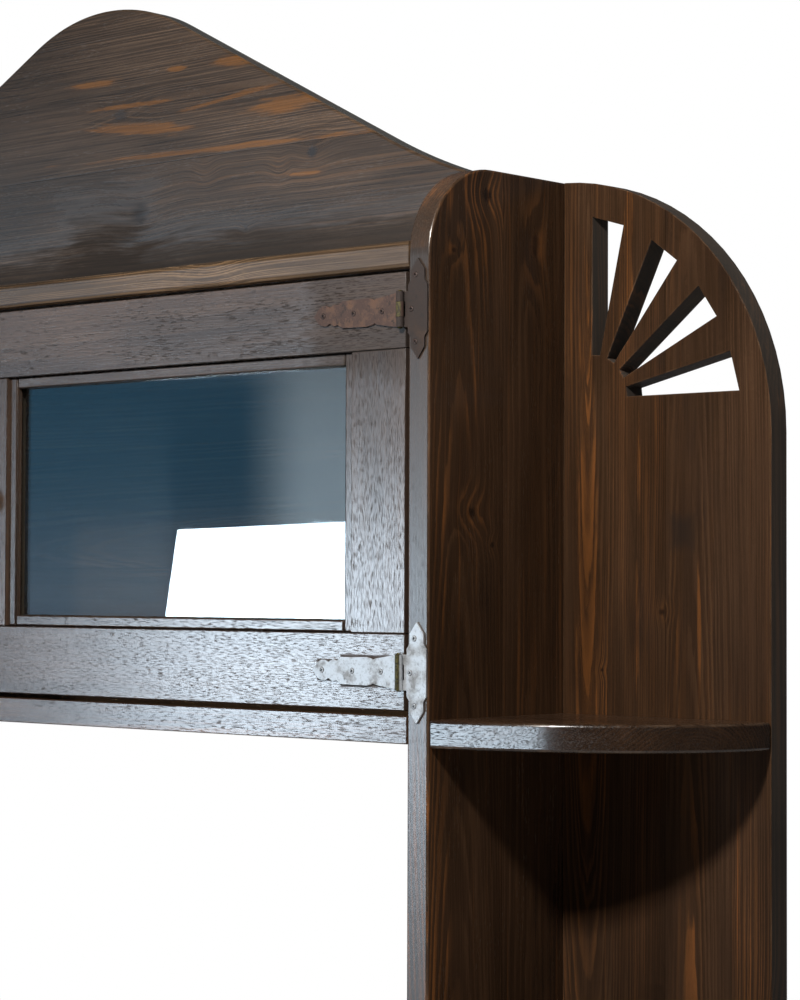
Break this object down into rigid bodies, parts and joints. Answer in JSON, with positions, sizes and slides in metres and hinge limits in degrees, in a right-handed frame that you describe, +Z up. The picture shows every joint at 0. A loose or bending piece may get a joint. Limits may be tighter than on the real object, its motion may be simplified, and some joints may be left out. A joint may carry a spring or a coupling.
{
  "type": "wall unit",
  "caption": "Dark-stained pine wall unit: arched crest over a glazed cabinet with strap-hinged doors, an open niche below, and outer wings with quarter-round shelves and a pierced sunburst.",
  "frame": {"origin": "on the floor, midway between the uprights and midway between the knobs' fronts and the back", "axes": "+Z up, +X to the right as one faces the unit, -Y towards the person in front of it, +Y towards the wall"},
  "size_m": [2.264, 0.3064, 2.2233],
  "materials": {
    "carcass_wood": "dark walnut stain on pine, satin varnish",
    "crest_wood": "dark walnut stain on pine with amber late wood, satin varnish",
    "door_wood": "open-pored stained wood, satin varnish",
    "window_glass": "clear float glass",
    "worn_zinc": "worn bright zinc plate",
    "brown_iron": "brown tarnished plate",
    "pin_brass": "dull brass with dark patina",
    "black_iron": "blackened iron"
  },
  "bodies": {
    "carcass": {"upright_right": "carcass_wood", "upright_left": "carcass_wood", "wing_back_right": "carcass_wood", "wing_back_left": "carcass_wood", "wing_shelf_right_1": "carcass_wood", "wing_shelf_right_2": "carcass_wood", "wing_shelf_right_3": "carcass_wood", "wing_shelf_right_4": "carcass_wood", "wing_shelf_left_1": "carcass_wood", "wing_shelf_left_2": "carcass_wood", "wing_shelf_left_3": "carcass_wood", "wing_shelf_left_4": "carcass_wood", "cabinet_top": "carcass_wood", "cabinet_bottom": "carcass_wood", "cabinet_back": "carcass_wood", "hanging_rail": "carcass_wood", "door_stop": "carcass_wood", "crest": "crest_wood", "counter_shelf": "carcass_wood", "base_shelf": "carcass_wood", "centre_divider": "carcass_wood", "toe_board": "carcass_wood", "door_catch_right": "black_iron", "door_catch_left": "black_iron", "hinge_frame_leaf_right_upper": "brown_iron", "hinge_frame_leaf_right_lower": "worn_zinc", "hinge_frame_leaf_left_upper": "brown_iron", "hinge_frame_leaf_left_lower": "worn_zinc", "hinge_pin_right_upper": "pin_brass", "hinge_pin_right_lower": "pin_brass", "hinge_pin_left_upper": "pin_brass", "hinge_pin_left_lower": "pin_brass"},
    "door_right": {"door_right_hinge_stile": "door_wood", "door_right_latch_stile": "door_wood", "door_right_top_rail": "door_wood", "door_right_bottom_rail": "door_wood", "door_right_glass": "window_glass", "door_right_bead_hinge_side": "door_wood", "door_right_bead_latch_side": "door_wood", "door_right_bead_top": "door_wood", "door_right_bead_bottom": "door_wood", "door_right_knob": "black_iron", "door_right_strike_plate": "black_iron", "hinge_strap_right_upper": "brown_iron", "hinge_strap_right_lower": "worn_zinc"},
    "door_left": {"door_left_hinge_stile": "door_wood", "door_left_latch_stile": "door_wood", "door_left_top_rail": "door_wood", "door_left_bottom_rail": "door_wood", "door_left_glass": "window_glass", "door_left_bead_hinge_side": "door_wood", "door_left_bead_latch_side": "door_wood", "door_left_bead_top": "door_wood", "door_left_bead_bottom": "door_wood", "door_left_knob": "black_iron", "door_left_strike_plate": "black_iron", "hinge_strap_left_upper": "brown_iron", "hinge_strap_left_lower": "worn_zinc"}
  },
  "joints": [
    {"name": "door_right_swing", "type": "hinge", "parent": "carcass", "child": "door_right", "pos_m": [0.792, -0.12835, 1.52], "axis": [0, 0, 1], "range_deg": [0, 175]},
    {"name": "door_left_swing", "type": "hinge", "parent": "carcass", "child": "door_left", "pos_m": [-0.792, -0.12835, 1.52], "axis": [0, 0, -1], "range_deg": [0, 175]}
  ]
}
